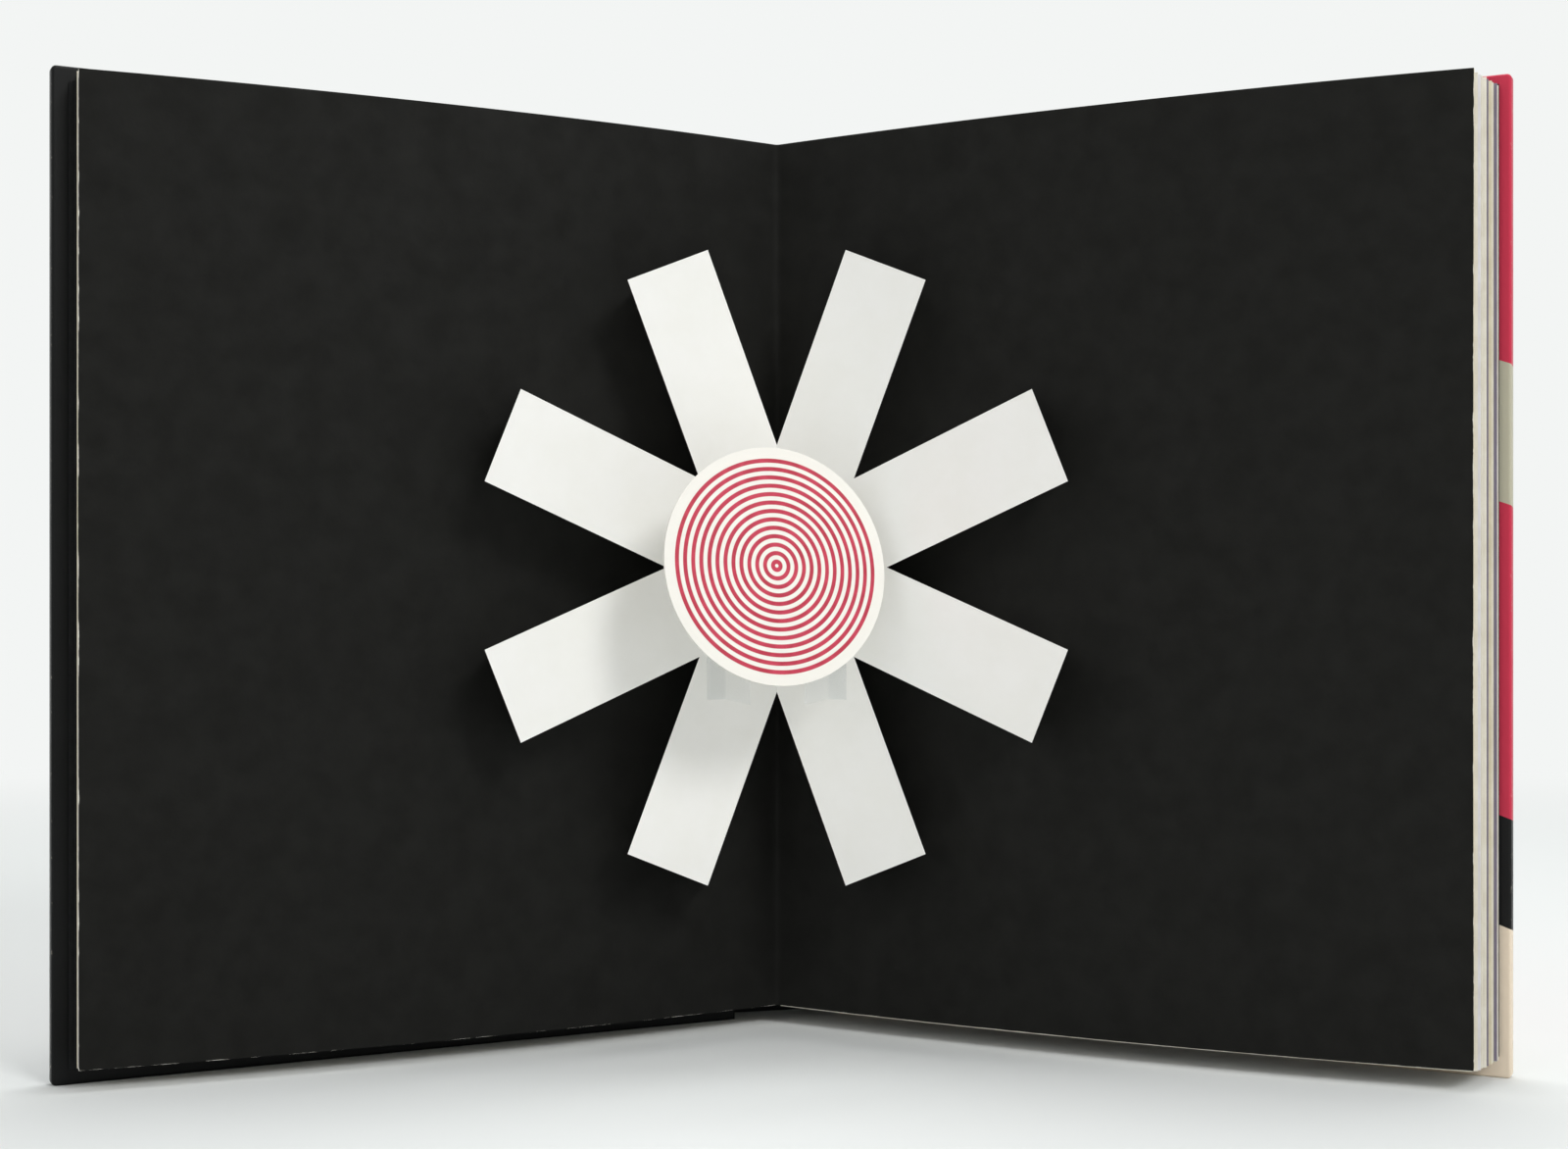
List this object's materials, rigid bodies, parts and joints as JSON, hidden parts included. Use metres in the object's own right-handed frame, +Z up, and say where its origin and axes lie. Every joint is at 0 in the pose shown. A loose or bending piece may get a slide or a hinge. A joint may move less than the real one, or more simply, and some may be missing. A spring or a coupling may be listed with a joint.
{
  "type": "pop up book",
  "caption": "Small hardback pop-up book standing open: black spread, white box-section star and a ringed disc on clear struts, in a case whose covers hinge at the spine.",
  "frame": {"origin": "middle of the open book's footprint, on the surface it stands on", "axes": "+Z up along the spine, from tail to head; +X to the reader's right, along the open book; the reader looks along +Y, so the spine is at +Y"},
  "size_m": [0.2704, 0.0838, 0.186],
  "materials": {
    "page_card": "matt uncoated cut edges",
    "black_printed_card": "matt black print",
    "white_card": "matt white card",
    "ring_printed_card": "white card with red printed rings",
    "clear_film": "clear film",
    "mull_cloth": "open woven cotton",
    "grey_board": "grey board",
    "black_cover_paper": "matt laminated black print",
    "colour_cover_paper": "matt laminated colour print",
    "black_endpaper": "matt black"
  },
  "bodies": {
    "book_block": {"page_block": "page_card", "open_spread": "black_printed_card", "spine_lining": "mull_cloth", "star": "white_card", "ringed_disc": "ring_printed_card", "left_film_strut": "clear_film", "right_film_strut": "clear_film", "spine_board": "grey_board", "spine_paper": "black_cover_paper"},
    "front_cover": {"front_cover_paper": "black_cover_paper", "front_board": "grey_board", "front_pastedown": "black_endpaper"},
    "back_cover": {"back_cover_paper": "colour_cover_paper", "back_board": "grey_board", "back_pastedown": "black_endpaper"}
  },
  "joints": [
    {"name": "front_cover_hinge", "type": "hinge", "parent": "book_block", "child": "front_cover", "pos_m": [-0.01515, 0.03522, 0.093], "axis": [0, 0, -1], "range_deg": [0, 120]},
    {"name": "back_cover_hinge", "type": "hinge", "parent": "book_block", "child": "back_cover", "pos_m": [0.01186, 0.04218, 0.093], "axis": [0, 0, 1], "range_deg": [0, 120]}
  ]
}
